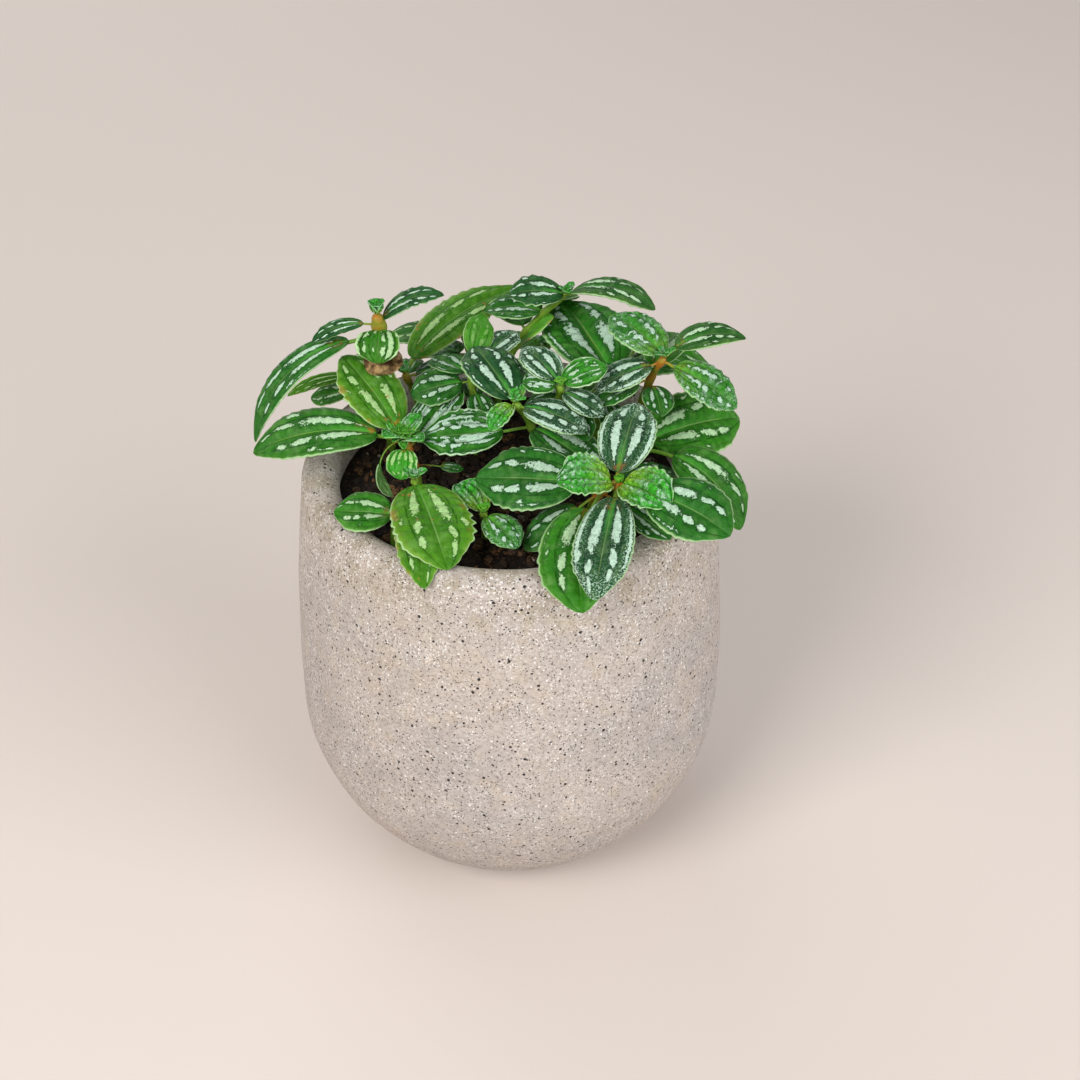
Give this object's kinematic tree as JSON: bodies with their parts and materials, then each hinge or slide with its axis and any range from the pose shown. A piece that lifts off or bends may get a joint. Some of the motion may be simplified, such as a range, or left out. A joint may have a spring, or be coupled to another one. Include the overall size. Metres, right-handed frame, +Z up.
{
  "type": "potted foliage plant",
  "caption": "Low bushy pot plant with silver-patched toothed leaves, standing in potting soil in a rounded speckled cement pot",
  "frame": {"origin": "centre of the pot's flat base, on the surface it stands on", "axes": "+Z is up along the pot's axis; -Y is the side the picture shows, with +X to its right"},
  "size_m": [0.1419, 0.1443, 0.1798],
  "materials": {
    "cement": "matt cast cement with fine dark and white speckles",
    "soil": "dark crumbly potting soil",
    "foliage": "satin green leaf with raised silver patches"
  },
  "bodies": {
    "root": {"pot": "cement", "soil": "soil", "shoot_front_right": "foliage", "shoot_right": "foliage", "shoot_back_right": "foliage", "shoot_centre": "foliage", "shoot_centre_back": "foliage", "shoot_broad": "foliage", "shoot_back": "foliage", "shoot_back_left": "foliage", "shoot_inner": "foliage", "shoot_tall_left": "foliage", "shoot_left": "foliage", "shoot_front_left": "foliage", "shoot_front_small": "foliage", "shoot_side_left": "foliage", "shoot_rear": "foliage", "shoot_rear_left": "foliage", "shoot_rear_right": "foliage", "shoot_rim_left": "foliage"}
  },
  "joints": []
}
